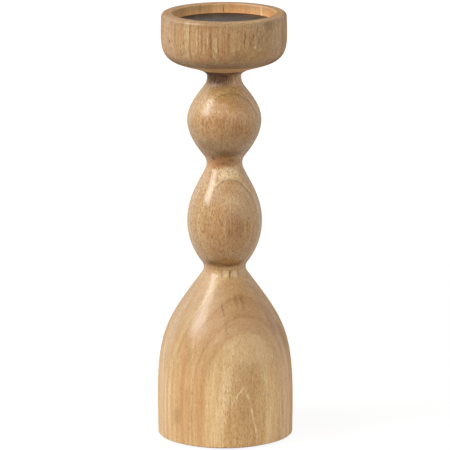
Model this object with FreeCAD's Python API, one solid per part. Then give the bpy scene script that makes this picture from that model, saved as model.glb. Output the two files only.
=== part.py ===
import FreeCAD, Part
import math
import os

from FreeCAD import Vector

# Turned wooden candle holder: a bell base, a stem of two beads and a cup with a loose steel plate.
# The axis is Z, the felt under the foot stands on Z = 0, lengths are millimetres and angles degrees.
# A lean is measured from the vertical and is positive where the outline widens going up.
# Handle shares are parts of the height of the stretch of outline that they shape, first its lower end.

# What the cup holds: a pillar candle on a loose plate
candle_r = 35.0
candle_clearance = 2.1
candle_depth = 6.8
plate_t = 1.2
plate_edge_r = 0.3
plate_clearance = 0.25
seat_step_w = 0.5
seat_step_h = 0.2

# Cup
cup_wall_t = 8.2
cup_underside_h = 24.0
cup_rim_h = 16.4
rim_draw = 0.3
rim_lean = -2.2
rim_edge_r = 2.6
rim_inner_r = 1.0
cup_web_t = 8.2
cup_underside_shares = (0.237, 0.84)
cup_wall_shares = (0.42, 0.37)

# Flare of the stem under the cup
collar_r = 20.0
collar_rise = 6.1
collar_lean = 69.8
collar_shares = (0.456, 0.214)

# Necks of the stem, each a hollow of two arcs that meet at the narrowest place
upper_neck_r = 12.25
upper_neck_hollow_r = (11.5, 3.6)
upper_neck_leans = (33.5, 49.3)
waist_r = 12.9
waist_hollow_r = (8.3, 9.4)
waist_leans = (21.6, 36.9)
lower_neck_r = 15.2
lower_neck_hollow_r = 6.8
lower_neck_leans = (35.7, 39.3)

# Beads of the stem, each rise counted from the place below it
upper_neck_rise = 31.8
upper_bead_r = 26.7
upper_bead_rise = 31.7
upper_bead_shares = ((0.18, 0.44), (0.44, 0.21))
waist_rise = 42.4
lower_bead_r = 27.05
lower_bead_rise = 34.2
lower_bead_shares = ((0.08, 0.55), (0.46, 0.21))

# Bell base
foot_r = 48.9
foot_edge_r = 0.8
bell_swell = 0.3
bell_widest_h = 24.5
bell_shoulder_h = 98.9
bell_foot_shares = (0.4, 0.5)
bell_shoulder_shares = (0.55, 0.372)
base_web_t = 16.0

# Felt under the foot
felt_t = 1.5
felt_inset = 4.8

# Tenons of the stem, their glue gaps, and the eased edges where two turned pieces meet
upper_tenon_r = 8.0
lower_tenon_r = 9.0
lower_tenon_h = 28.0
tenon_clearance = 0.1
tenon_end_gap = 1.0
tenon_ease = 0.8
seam_ease = 0.3

# Wood screws: pan heads with a cross recess, each on a washer
cup_screw_r = 2.5
cup_screw_length = 45.0
cup_screw_head_r = 4.8
cup_screw_head_h = 3.4
cup_washer_r = 7.5
cup_washer_t = 1.2
base_screw_r = 3.0
base_screw_length = 70.0
base_screw_head_r = 5.8
base_screw_head_h = 4.0
base_washer_r = 9.0
base_washer_t = 1.6
screw_hole_clearance = 0.25
washer_clearance = 0.8
head_cover = 0.6
thread_bite = 0.75
point_share = 0.1
head_crown_share = 0.45
head_crown_lean = -45.0
head_crown_shares = (0.5, 0.3)
cross_reach_share = 0.62
cross_width_share = 0.2
cross_depth_share = 0.55

# The cutters run this far past the face that they start from
overrun = 1.0

# Radii that follow from the sizes above
recess_r = candle_r + candle_clearance
seat_r = recess_r - seat_step_w
plate_r = seat_r - plate_clearance
cup_r = recess_r + cup_wall_t
rim_r = cup_r - rim_draw
bell_r = foot_r + bell_swell
felt_r = foot_r - felt_inset
upper_mortise_r = upper_tenon_r + tenon_clearance
lower_mortise_r = lower_tenon_r + tenon_clearance
cup_screw_hole_r = cup_screw_r + screw_hole_clearance
base_screw_hole_r = base_screw_r + screw_hole_clearance
cup_head_bore_r = cup_washer_r + washer_clearance
base_bore_r = base_washer_r + washer_clearance

# Heights up the outside, from the foot to the rim
foot_z = felt_t
bell_widest_z = foot_z + bell_widest_h
lower_seam_z = bell_widest_z + bell_shoulder_h
lower_bead_z = lower_seam_z + lower_bead_rise
waist_z = lower_bead_z + waist_rise
upper_bead_z = waist_z + upper_bead_rise
upper_neck_z = upper_bead_z + upper_neck_rise
upper_seam_z = upper_neck_z + collar_rise
cup_widest_z = upper_seam_z + cup_underside_h
rim_z = cup_widest_z + cup_rim_h

# Heights inside the cup, from the rim down to the mortise
plate_top_z = rim_z - candle_depth
recess_floor_z = plate_top_z - plate_t
seat_top_z = plate_top_z + seat_step_h
cup_head_bore_z = recess_floor_z - head_cover - cup_screw_head_h - cup_washer_t
upper_mortise_z = cup_head_bore_z - cup_web_t
upper_tenon_z = upper_mortise_z - tenon_end_gap
cup_screw_z = cup_head_bore_z + cup_washer_t
cup_pilot_z = cup_screw_z - cup_screw_length - tenon_end_gap

# The angle in the lower neck's hollow at which the eased edge of its joint begins
seam_ease_angle = math.degrees(math.asin(seam_ease / lower_neck_hollow_r))

# Heights inside the bell, from the mortise down to the screw's head
lower_tenon_z = lower_seam_z - lower_tenon_h
lower_mortise_z = lower_tenon_z - tenon_end_gap
base_bore_z = lower_mortise_z - base_web_t
base_screw_z = base_bore_z - base_washer_t
base_pilot_z = base_screw_z + base_screw_length + tenon_end_gap


def at(r, z):
    """A point of a half section, at radius r and height z."""
    return Vector(r, 0, z)


def in_hollow(neck_r, neck_z, hollow_r, angle):
    """The point of a neck's hollow that lies at this angle above the narrowest place."""
    turn = math.radians(angle)
    return at(neck_r + hollow_r * (1 - math.cos(turn)), neck_z + hollow_r * math.sin(turn))


class HalfSection:
    """A half section of a turned piece, drawn from edge to edge and then revolved."""

    def __init__(self, r, z):
        self.start = at(r, z)
        self.here = self.start
        self.edges = []

    def add(self, edge, end):
        self.edges.append(edge)
        self.here = end

    def line(self, r, z):
        end = at(r, z)
        self.add(Part.LineSegment(self.here, end).toShape(), end)

    def arc(self, middle, end):
        self.add(Part.Arc(self.here, middle, end).toShape(), end)

    def hollow(self, neck_r, neck_z, hollow_r, first, last):
        """Follows a neck's hollow to the last angle, from where the outline stands at the first one."""
        middle = in_hollow(neck_r, neck_z, hollow_r, (first + last) / 2)
        self.arc(middle, in_hollow(neck_r, neck_z, hollow_r, last))

    def rounding(self, centre, radius, first, last):
        """Follows a rounded edge about a centre, between two angles above the horizontal."""
        on_edge = []
        for angle in ((first + last) / 2, last):
            turn = math.radians(angle)
            on_edge.append(centre + at(radius * math.cos(turn), radius * math.sin(turn)))
        self.arc(*on_edge)

    def flank(self, start_lean, end, end_lean, shares):
        """A smooth flank up to the end point, with a lean and a handle share at each end."""
        rise = end.z - self.here.z
        first = rise * shares[0]
        last = rise * shares[1]
        away = at(first * math.tan(math.radians(start_lean)), first)
        towards = at(last * math.tan(math.radians(end_lean)), last)
        curve = Part.BezierCurve()
        curve.setPoles([self.here, self.here + away, end - towards, end])
        self.add(curve.toShape(), end)

    def turned(self):
        """Closes the half section and revolves it about the Z axis."""
        self.line(self.start.x, self.start.z)
        face = Part.Face(Part.Wire(self.edges))
        return face.revolve(Vector(0, 0, 0), Vector(0, 0, 1), 360)


def bell_base():
    """The bell, bored from below for the base screw and mortised on top for the stem."""
    neck = (lower_neck_r, lower_seam_z, lower_neck_hollow_r)
    shoulder = in_hollow(*neck, -lower_neck_leans[0])
    section = HalfSection(base_bore_r, foot_z)
    section.line(foot_r - foot_edge_r, foot_z)
    section.rounding(at(foot_r - foot_edge_r, foot_z + foot_edge_r), foot_edge_r, -90, 0)
    section.flank(0, at(bell_r, bell_widest_z), 0, bell_foot_shares)
    section.flank(0, shoulder, -lower_neck_leans[0], bell_shoulder_shares)
    section.hollow(*neck, -lower_neck_leans[0], -seam_ease_angle)
    section.line(lower_neck_r - seam_ease, lower_seam_z)
    section.line(lower_mortise_r, lower_seam_z)
    section.line(lower_mortise_r, lower_mortise_z)
    section.line(base_screw_hole_r, lower_mortise_z)
    section.line(base_screw_hole_r, base_bore_z)
    section.line(base_bore_r, base_bore_z)
    return section.turned()


def draw_lower_tenon(section):
    """From the pilot hole's end, down inside the lower tenon and up its outside to the seam."""
    pilot_r = base_screw_r - thread_bite
    section.line(pilot_r, base_pilot_z)
    section.line(pilot_r, lower_tenon_z)
    section.line(lower_tenon_r - tenon_ease, lower_tenon_z)
    section.line(lower_tenon_r, lower_tenon_z + tenon_ease)
    section.line(lower_tenon_r, lower_seam_z)
    section.line(lower_neck_r - seam_ease, lower_seam_z)


def draw_beads(section):
    """The outside of the stem: both beads, the waist between them and the necks at their ends."""
    lower = (lower_neck_r, lower_seam_z, lower_neck_hollow_r)
    waist_below = (waist_r, waist_z, waist_hollow_r[0])
    waist_above = (waist_r, waist_z, waist_hollow_r[1])
    upper_below = (upper_neck_r, upper_neck_z, upper_neck_hollow_r[0])
    upper_above = (upper_neck_r, upper_neck_z, upper_neck_hollow_r[1])
    under_waist = in_hollow(*waist_below, -waist_leans[0])
    under_upper_neck = in_hollow(*upper_below, -upper_neck_leans[0])
    eased = in_hollow(*lower, seam_ease_angle)
    section.line(eased.x, eased.z)
    section.hollow(*lower, seam_ease_angle, lower_neck_leans[1])
    section.flank(lower_neck_leans[1], at(lower_bead_r, lower_bead_z), 0, lower_bead_shares[0])
    section.flank(0, under_waist, -waist_leans[0], lower_bead_shares[1])
    section.hollow(*waist_below, -waist_leans[0], 0)
    section.hollow(*waist_above, 0, waist_leans[1])
    section.flank(waist_leans[1], at(upper_bead_r, upper_bead_z), 0, upper_bead_shares[0])
    section.flank(0, under_upper_neck, -upper_neck_leans[0], upper_bead_shares[1])
    section.hollow(*upper_below, -upper_neck_leans[0], 0)
    section.hollow(*upper_above, 0, upper_neck_leans[1])


def draw_collar(section):
    """The flare under the cup, its eased lip and the shoulder inside it."""
    lip_drop = seam_ease / math.tan(math.radians(collar_lean))
    lip = at(collar_r - seam_ease, upper_seam_z - lip_drop)
    section.flank(upper_neck_leans[1], lip, collar_lean, collar_shares)
    section.line(lip.x, upper_seam_z)
    section.line(upper_tenon_r, upper_seam_z)


def draw_upper_tenon(section):
    """Up the outside of the upper tenon, over its end and down the pilot hole to the axis."""
    pilot_r = cup_screw_r - thread_bite
    section.line(upper_tenon_r, upper_tenon_z - tenon_ease)
    section.line(upper_tenon_r - tenon_ease, upper_tenon_z)
    section.line(pilot_r, upper_tenon_z)
    section.line(pilot_r, cup_pilot_z)
    section.line(0, cup_pilot_z)


def bead_stem():
    """The two beads in one turned piece, with a tenon and a pilot hole at each end."""
    section = HalfSection(0, base_pilot_z)
    draw_lower_tenon(section)
    draw_beads(section)
    draw_collar(section)
    draw_upper_tenon(section)
    return section.turned()


def draw_cup_outside(section):
    """From the joint with the stem, up the round underside and the wall, over the rim's outer edge."""
    drop = math.radians(-rim_lean)
    rounding_start = at(rim_r, rim_z - rim_edge_r + rim_edge_r * math.sin(drop))
    rounding_centre = at(rim_r - rim_edge_r * math.cos(drop), rim_z - rim_edge_r)
    section.line(collar_r, upper_seam_z)
    section.flank(collar_lean, at(cup_r, cup_widest_z), 0, cup_underside_shares)
    section.flank(0, rounding_start, rim_lean, cup_wall_shares)
    section.rounding(rounding_centre, rim_edge_r, -rim_lean, 90)


def draw_cup_inside(section):
    """Across the rim, down the recess to the plate's seat, and down the screw's bores to the mortise."""
    section.line(recess_r + rim_inner_r, rim_z)
    section.rounding(at(recess_r + rim_inner_r, rim_z - rim_inner_r), rim_inner_r, 90, 180)
    section.line(recess_r, seat_top_z)
    section.line(seat_r, seat_top_z)
    section.line(seat_r, recess_floor_z)
    section.line(cup_head_bore_r, recess_floor_z)
    section.line(cup_head_bore_r, cup_head_bore_z)
    section.line(cup_screw_hole_r, cup_head_bore_z)
    section.line(cup_screw_hole_r, upper_mortise_z)
    section.line(upper_mortise_r, upper_mortise_z)


def candle_cup():
    """The cup: a recess for the plate and candle, bored for the screw and mortised for the stem."""
    section = HalfSection(upper_mortise_r, upper_seam_z)
    draw_cup_outside(section)
    draw_cup_inside(section)
    return section.turned()


def candle_plate():
    """The loose steel disc on the recess's floor, with eased edges."""
    section = HalfSection(0, recess_floor_z)
    section.line(plate_r - plate_edge_r, recess_floor_z)
    section.rounding(at(plate_r - plate_edge_r, recess_floor_z + plate_edge_r), plate_edge_r, -90, 0)
    section.line(plate_r, plate_top_z - plate_edge_r)
    section.rounding(at(plate_r - plate_edge_r, plate_top_z - plate_edge_r), plate_edge_r, 0, 90)
    section.line(0, plate_top_z)
    return section.turned()


def felt_pad():
    """The felt disc glued under the foot, which also covers the screw's bore."""
    return Part.makeCylinder(felt_r, felt_t)


def washer(outer_r, thickness, hole_r, z):
    """A flat washer that lies on height z."""
    section = HalfSection(hole_r, z)
    section.line(outer_r, z)
    section.line(outer_r, z + thickness)
    section.line(hole_r, z + thickness)
    return section.turned()


def cross_recess(head_r, head_h):
    """The cutter for a head's cross recess: two crossed bars that start above the head."""
    reach = head_r * cross_reach_share
    half_width = head_r * cross_width_share
    depth = head_h * cross_depth_share
    corner_z = head_h - depth
    along_x = Part.makeBox(2 * reach, 2 * half_width, depth + overrun, Vector(-reach, -half_width, corner_z))
    along_y = Part.makeBox(2 * half_width, 2 * reach, depth + overrun, Vector(-half_width, -reach, corner_z))
    return along_x.fuse(along_y)


def wood_screw(shank_r, length, head_r, head_h):
    """A screw with its point down and its head on height zero; the thread is its outside cylinder."""
    point_h = length * point_share
    crown_h = head_h * head_crown_share
    section = HalfSection(0, -length)
    section.line(shank_r, point_h - length)
    section.line(shank_r, 0)
    section.line(head_r, 0)
    section.line(head_r, head_h - crown_h)
    section.flank(0, at(head_r - crown_h, head_h), head_crown_lean, head_crown_shares)
    section.line(0, head_h)
    return section.turned().cut(cross_recess(head_r, head_h))


def cup_screw():
    """The screw that goes down through the cup's web into the stem."""
    screw = wood_screw(cup_screw_r, cup_screw_length, cup_screw_head_r, cup_screw_head_h)
    screw.translate(Vector(0, 0, cup_screw_z))
    return screw


def base_screw():
    """The screw that goes up through the bell's web into the stem."""
    screw = wood_screw(base_screw_r, base_screw_length, base_screw_head_r, base_screw_head_h)
    screw.rotate(Vector(0, 0, 0), Vector(1, 0, 0), 180)
    screw.translate(Vector(0, 0, base_screw_z))
    return screw


def main():
    nodes = {
        "bell_base": bell_base(),
        "bead_stem": bead_stem(),
        "candle_cup": candle_cup(),
        "candle_plate": candle_plate(),
        "felt_pad": felt_pad(),
        "cup_screw": cup_screw(),
        "cup_screw_washer": washer(cup_washer_r, cup_washer_t, cup_screw_hole_r, cup_head_bore_z),
        "base_screw": base_screw(),
        "base_screw_washer": washer(base_washer_r, base_washer_t, base_screw_hole_r, base_screw_z),
    }
    os.makedirs("parts", exist_ok=True)
    for name, shape in nodes.items():
        box = shape.BoundBox
        print(f"{name}: {shape.Volume:.0f} mm3, Z {box.ZMin:.2f} to {box.ZMax:.2f}, valid {shape.isValid()}")
        shape.exportStep(f"parts/{name}.step")


main()
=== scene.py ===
import math
from functools import partial, reduce

import bpy
import numpy as np
from bpy.props import FloatProperty, FloatVectorProperty, IntProperty, PointerProperty
from bpy.types import Operator, Panel, PropertyGroup
from mathutils import Matrix, Vector


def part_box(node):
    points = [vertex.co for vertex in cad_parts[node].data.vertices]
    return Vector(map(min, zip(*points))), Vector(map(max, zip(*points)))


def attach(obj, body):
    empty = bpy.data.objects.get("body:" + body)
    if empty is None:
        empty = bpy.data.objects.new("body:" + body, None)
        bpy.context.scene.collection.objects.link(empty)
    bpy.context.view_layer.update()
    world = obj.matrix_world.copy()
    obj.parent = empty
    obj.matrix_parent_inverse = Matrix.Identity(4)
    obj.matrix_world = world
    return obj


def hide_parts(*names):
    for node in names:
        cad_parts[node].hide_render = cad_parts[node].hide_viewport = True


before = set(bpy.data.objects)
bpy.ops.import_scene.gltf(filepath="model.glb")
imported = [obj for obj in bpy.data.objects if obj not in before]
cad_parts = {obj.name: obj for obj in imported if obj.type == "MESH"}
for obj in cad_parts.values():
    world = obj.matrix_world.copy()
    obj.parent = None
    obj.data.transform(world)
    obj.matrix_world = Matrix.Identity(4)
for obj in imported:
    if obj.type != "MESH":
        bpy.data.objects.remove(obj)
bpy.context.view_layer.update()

bl_info = {
    "name": "Turned Candle Holder",
    "version": (1, 0, 0),
    "blender": (4, 5, 0),
    "location": "3D View > Sidebar > Candle Holder",
    "description": "Dresses a turned wooden pillar candle holder: its wood, loose steel plate, screws and felt",
    "category": "Object",
}

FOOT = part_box("bell_base")[0].z
LOWER_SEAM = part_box("bell_base")[1].z
UPPER_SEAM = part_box("candle_cup")[0].z
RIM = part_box("candle_cup")[1].z
PLATE_LOW, PLATE_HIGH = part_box("candle_plate")
FELT_LOW, FELT_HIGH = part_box("felt_pad")
STEM_LOW, STEM_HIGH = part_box("bead_stem")
BASE_SCREW_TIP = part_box("base_screw")[1].z
CUP_SCREW_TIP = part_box("cup_screw")[0].z
BASE_WASHER_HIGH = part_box("base_screw_washer")[1]
CUP_WASHER_LOW, CUP_WASHER_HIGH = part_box("cup_screw_washer")
MILLIMETRE = 0.001
SHARP_DEGREES = 32


def length(name, description, default):
    """A length in metres, as a property that the sidebar shows in the scene's unit."""
    return FloatProperty(
        name=name, description=description, default=default, min=0.0, precision=5, subtype="DISTANCE", unit="LENGTH"
    )


def number(name, description, default, unit="NONE"):
    """A plain number, such as a lean in degrees or a lamp's brightness."""
    return FloatProperty(name=name, description=description, default=default, unit=unit)


def pair(name, description, default):
    """Two numbers that belong to the lower and upper end of one stretch of outline."""
    return FloatVectorProperty(name=name, description=description, default=default, size=2, precision=3)


def colour(name, description, default):
    """A colour, given as it should look on screen and kept as scene-linear values."""
    linear = [((c + 0.055) / 1.055) ** 2.4 if c > 0.04045 else c / 12.92 for c in default]
    return FloatVectorProperty(
        name=name, description=description, default=linear, size=3, min=0.0, max=1.0, subtype="COLOR"
    )


class CupSizes(PropertyGroup):
    """Sizes of the cup's outside, rim and recess."""

    widest_r: length("Widest radius", "Radius of the cup where its wall begins", 0.0453)
    rim_h: length("Wall height", "From the widest place up to the rim", 0.0164)
    rim_draw: length("Rim draw", "How far the rim stands in from the widest place", 0.0003)
    rim_edge_r: length("Rim edge", "Rounding of the rim's outer edge", 0.0026)
    rim_inner_r: length("Recess edge", "Rounding of the rim's inner edge", 0.001)
    recess_r: length("Recess radius", "Radius of the recess that takes the candle", 0.0371)
    seat_gap: length("Seat gap", "Room round the steel plate in its seat", 0.00025)
    seat_h: length("Seat height", "How far the seat's step stands above the plate", 0.0002)
    joint_r: length("Joint radius", "Radius at which the underside meets the stem", 0.02)
    bore_gap: length("Bore gap", "Room round the washer in its bore", 0.0008)
    mortise_r: length("Mortise radius", "Radius of the mortise for the stem's tenon", 0.0081)
    web: length("Web", "Wood between the screw's bore and the mortise", 0.0082)
    lean: number("Underside lean", "Lean of the underside at the stem", 69.8)
    rim_lean: number("Rim lean", "Lean of the wall under the rim", -2.2)
    underside: pair("Underside handles", "Shares of the underside's height that shape its ends", (0.237, 0.84))
    wall: pair("Wall handles", "Shares of the wall's height that shape its ends", (0.42, 0.37))


class StemSizes(PropertyGroup):
    """Sizes of the two beads and of the necks at their ends."""

    lower_neck_r: length("Lower neck", "Radius where the stem stands on the bell", 0.0152)
    lower_hollow: length("Lower neck hollow", "Radius of the hollow at the lower neck", 0.0068)
    lower_bead_r: length("Lower bead", "Largest radius of the lower bead", 0.02705)
    lower_bead_rise: length("Lower bead rise", "From the lower neck up to the lower bead", 0.0342)
    waist_r: length("Waist", "Radius of the waist between the beads", 0.0129)
    waist_rise: length("Waist rise", "From the lower bead up to the waist", 0.0424)
    upper_bead_r: length("Upper bead", "Largest radius of the upper bead", 0.0267)
    upper_bead_rise: length("Upper bead rise", "From the waist up to the upper bead", 0.0317)
    upper_neck_r: length("Upper neck", "Radius of the neck under the cup", 0.01225)
    upper_neck_rise: length("Upper neck rise", "From the upper bead up to the neck", 0.0318)
    collar_r: length("Collar", "Radius of the flare that carries the cup", 0.02)
    seam_ease: length("Seam ease", "How far the edges at a joint are eased", 0.0003)
    upper_tenon_r: length("Upper tenon", "Radius of the tenon in the cup", 0.008)
    lower_tenon_r: length("Lower tenon", "Radius of the tenon in the bell", 0.009)
    base_screw_r: length("Base screw", "Radius of the shank of the screw in the bell", 0.003)
    cup_screw_r: length("Cup screw", "Radius of the shank of the screw in the cup", 0.0025)
    screw_gap: length("Screw gap", "Room round a screw's shank", 0.00025)
    tenon_edge: length("Tenon edge", "Bevel at each tenon's end", 0.0008)
    pilot_spare: length("Pilot spare", "How far a pilot hole runs past its screw's tip", 0.001)
    thread_bite: length("Thread bite", "How far a screw's thread bites beyond its pilot hole", 0.00075)
    waist_hollows: pair("Waist hollows", "Radii of the waist's hollow, below and above, in millimetres", (8.3, 9.4))
    upper_hollows: pair("Upper hollows", "Radii of the upper neck's hollow, in millimetres", (11.5, 3.6))
    lower_leans: pair("Lower leans", "Leans where the lower neck's hollow ends", (35.7, 39.3))
    waist_leans: pair("Waist leans", "Leans where the waist's hollow ends", (21.6, 36.9))
    upper_leans: pair("Upper leans", "Leans where the upper neck's hollow ends", (33.5, 49.3))
    lower_bead_low: pair("Lower bead, below", "Handle shares under the lower bead's widest place", (0.08, 0.55))
    lower_bead_top: pair("Lower bead, above", "Handle shares over the lower bead's widest place", (0.46, 0.21))
    upper_bead_low: pair("Upper bead, below", "Handle shares under the upper bead's widest place", (0.18, 0.44))
    upper_bead_top: pair("Upper bead, above", "Handle shares over the upper bead's widest place", (0.44, 0.21))
    collar_shares: pair("Collar handles", "Handle shares of the flare under the cup", (0.456, 0.214))
    collar_lean: number("Collar lean", "Lean of the flare where it meets the cup", 69.8)


class BellSizes(PropertyGroup):
    """Sizes of the bell base and of the felt under it."""

    foot_r: length("Foot", "Radius of the bell at its foot", 0.0489)
    foot_edge_r: length("Foot edge", "Rounding of the foot's edge", 0.0008)
    swell: length("Swell", "How much wider than the foot the bell grows", 0.0003)
    widest_h: length("Widest height", "Height of the widest place over the foot", 0.0245)
    web: length("Web", "Wood between the screw's bore and the mortise", 0.016)
    mortise_r: length("Mortise radius", "Radius of the mortise for the stem's tenon", 0.0091)
    washer_gap: length("Washer gap", "Room round the washer in its bore", 0.0008)
    foot_shares: pair("Foot handles", "Handle shares between the foot and the widest place", (0.4, 0.5))
    shoulder: pair("Shoulder handles", "Handle shares from the widest place to the neck", (0.55, 0.372))
    felt_edge: length("Felt edge", "Softness of the felt's cut edge", 0.0003)
    felt_pile: length("Felt pile", "Depth of the felt's uneven pile", 0.00012)


class TurningQuality(PropertyGroup):
    """How finely the turned pieces are drawn, and how much the hand shows in them."""

    around: IntProperty(name="Steps around", description="Faces around each turned piece", default=480, min=48)
    step: length("Outline step", "Longest step along a curved outline", 0.0009)
    waver: length("Sanding waver", "How far hand sanding makes the outside waver", 0.00004)
    plate_edge_r: length("Plate edge", "Rounding of the steel plate's edge", 0.0003)
    crack_w: length("Check width", "Width of the drying check in the recess wall", 0.0005)
    crack_d: length("Check depth", "Depth of the drying check in the recess wall", 0.0009)
    crack_h: length("Check height", "Height of the drying check below the rim", 0.0048)


class Finishes(PropertyGroup):
    """Colours of the wood, steel and felt, and the grain of the recess with its painted light."""

    pale: colour("Pale wood", "Palest bands of the wood", (0.92, 0.78, 0.58))
    amber: colour("Amber wood", "Deeper bands of the wood", (0.74, 0.54, 0.33))
    brown: colour("Brown pores", "Open pores of the wood", (152 / 255, 92 / 255, 44 / 255))
    plate: colour("Plate", "Powder coat of the steel plate", (0.09, 0.07, 0.05))
    zinc: colour("Zinc", "Bright zinc of the screws and washers", (0.80, 0.79, 0.76))
    felt: colour("Felt", "Dense felt under the foot", (0.33, 0.29, 0.25))
    floor: colour("Floor", "The plain pale floor", (0.72, 0.72, 0.71))
    # This also sets how far painted light lifts the recess wall against its shade.
    recess_grain_and_light: number("Recess grain", "How coarse the grain is in the recess", 0.35)


class StageSettings(PropertyGroup):
    """The camera's place and lens, and the strength of the lamps."""

    distance: length("Camera distance", "How far in front of the axis the camera stands", 3.2)
    height: length("Camera height", "How high the camera stands", 0.88)
    aside: length("Camera aside", "How far right of the axis the camera stands", 0.00025)
    lens: number("Lens", "Focal length on a 36 mm sensor", 362.9, "CAMERA")
    pitch: number("Pitch", "How far the camera looks down, in degrees", 12.76)
    roll: number("Roll", "Turn of the camera about its view, in degrees", -0.2)
    key: number("Key lamp", "Brightness of the tall window at the left", 8.35)
    side: number("Side lamp", "Brightness of the small window left of the key", 2.5)
    upper: number("Upper lamp", "Brightness of the wide light above the viewer", 1.75)
    fill: number("Fill lamp", "Brightness of the wide light at the front right", 1.1)
    edge: number("Edge lamp", "Brightness of the low lights at right and back", 0.6)
    rear: number("Rear lamp", "Brightness of the wide light behind the holder", 1.3)
    world: number("Room light", "Brightness of the light from all round", 0.02)


GROUPS = {
    "holder_cup": CupSizes,
    "holder_stem": StemSizes,
    "holder_bell": BellSizes,
    "holder_turning": TurningQuality,
    "holder_finishes": Finishes,
    "holder_stage": StageSettings,
}


class Outline:
    """A half section as rows of radius, height and sanding, drawn from end to end.

    Each stretch is a function of t from 0 to 1, taken at even steps of t.
    """

    def __init__(self, r, z, step):
        self.rows = [np.array([[r, z, 0.0]])]
        self.step = step
        self.sanded = 0.0

    def here(self):
        """The end of the last stretch."""
        return self.rows[-1][-1, :2]

    def follow(self, curve, parts):
        """Adds a stretch, cut into equal parts of t."""
        points = curve(np.linspace(0.0, 1.0, parts + 1)[1:, None])
        self.rows.append(np.column_stack([points, np.full(parts, self.sanded)]))

    def parts(self, span):
        """How many steps a stretch of this length needs."""
        return max(2, math.ceil(span / self.step))

    def line(self, r, z, parts=1):
        """A straight stretch: start + t (end - start)."""
        start = self.here()
        run = np.array([r, z]) - start
        self.follow(lambda t: start + t * run, parts)

    def lines(self, *ends):
        """Straight stretches from end to end, each given as radius, height and, where it is cut up, its parts."""
        for end in ends:
            self.line(*end)

    def hollow(self, neck_r, neck_z, radius, first, last):
        """A neck's hollow: (neck_r + R (1 - cos a), neck_z + R sin a), for angles a above the narrowest place."""
        turn = np.radians([first, last])

        def curve(t):
            a = turn[0] + t * (turn[1] - turn[0])
            return np.hstack([neck_r + radius * (1 - np.cos(a)), neck_z + radius * np.sin(a)])

        self.follow(curve, self.parts(radius * abs(turn[1] - turn[0])))

    def rounding(self, r, z, radius, first, last, parts=6):
        """A rounded edge: centre + R (cos a, sin a), for angles a above the horizontal."""
        turn = np.radians([first, last])

        def curve(t):
            a = turn[0] + t * (turn[1] - turn[0])
            return np.hstack([r + radius * np.cos(a), z + radius * np.sin(a)])

        self.follow(curve, parts)

    def flank(self, start_lean, r, z, end_lean, shares):
        """A smooth flank: a cubic Bezier curve whose handles lean from the vertical and rise by shares of its rise."""
        start, end = self.here(), np.array([r, z])
        rise = z - start[1]
        away = rise * shares[0] * np.array([math.tan(math.radians(start_lean)), 1.0])
        towards = rise * shares[1] * np.array([math.tan(math.radians(end_lean)), 1.0])
        poles = (start, start + away, end - towards, end)

        def curve(t):
            s = 1.0 - t
            return s**3 * poles[0] + 3 * s * s * t * poles[1] + 3 * s * t * t * poles[2] + t**3 * poles[3]

        self.follow(curve, self.parts(abs(rise)))

    def table(self):
        return np.vstack(self.rows)


def hollow_end(neck_r, neck_z, radius, angle):
    """Where a neck's hollow ends: (neck_r + R (1 - cos a), neck_z + R sin a)."""
    turn = math.radians(angle)
    return neck_r + radius * (1 - math.cos(turn)), neck_z + radius * math.sin(turn)


def disc(r, low, high, edge, step, under, side, over):
    """Outline of a flat disc with rounded edges, with its straight stretches cut into so many parts."""
    outline = Outline(0.0, low, step)
    outline.line(r - edge, low, under)
    outline.rounding(r - edge, low + edge, edge, -90, 0)
    outline.line(r, high - edge, side)
    outline.rounding(r - edge, high - edge, edge, 0, 90)
    outline.line(0.0, high, over)
    return outline


def even_angles(count):
    """Angles about the axis at even steps, from 0 up to a full turn."""
    return np.linspace(0.0, 2.0 * math.pi, count, endpoint=False)


def sanding(angle, z, depth):
    """How far the sanded outside lies under the turned one, as three slow waves in angle and height say. These add up
    to 2.2 at most, so it never stands above it."""
    wave = np.sin(2 * angle + 60 * z) + 0.7 * np.sin(3 * angle - 190 * z + 1.3) + 0.5 * np.sin(5 * angle + 420 * z)
    return depth * 0.5 * (1.0 - wave / 2.2)


def grid_faces(rows, around, closed):
    """Quads of a grid that closes around the axis, and along the outline too if it is closed."""
    lower = np.arange(rows if closed else rows - 1)
    upper = (lower + 1) % rows
    side = np.arange(around)
    nxt = (side + 1) % around
    corners = [lower[:, None] * around + side, lower[:, None] * around + nxt]
    corners += [upper[:, None] * around + nxt, upper[:, None] * around + side]
    return np.stack(corners, axis=-1).reshape(-1, 4)


def mesh_from(name, points, quads, triangles):
    """A mesh object of quads and triangles, smooth but for its real corners, with its faces pointing outwards."""
    mesh = bpy.data.meshes.new(name)
    corners = np.concatenate([quads.ravel(), triangles.ravel()]).astype(np.int32)
    starts = np.concatenate([np.arange(len(quads)) * 4, len(quads) * 4 + np.arange(len(triangles)) * 3])
    mesh.vertices.add(len(points))
    mesh.vertices.foreach_set("co", points.astype(np.float32).ravel())
    mesh.loops.add(len(corners))
    mesh.loops.foreach_set("vertex_index", corners)
    mesh.polygons.add(len(starts))
    mesh.polygons.foreach_set("loop_start", starts.astype(np.int32))
    mesh.update(calc_edges=True)
    mesh.validate()
    mesh.polygons.foreach_set("use_smooth", np.ones(len(starts), bool))
    mesh.set_sharp_from_angle(angle=math.radians(SHARP_DEGREES))
    piece = bpy.data.objects.new(name, mesh)
    bpy.context.scene.collection.objects.link(piece)
    return piece


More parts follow.
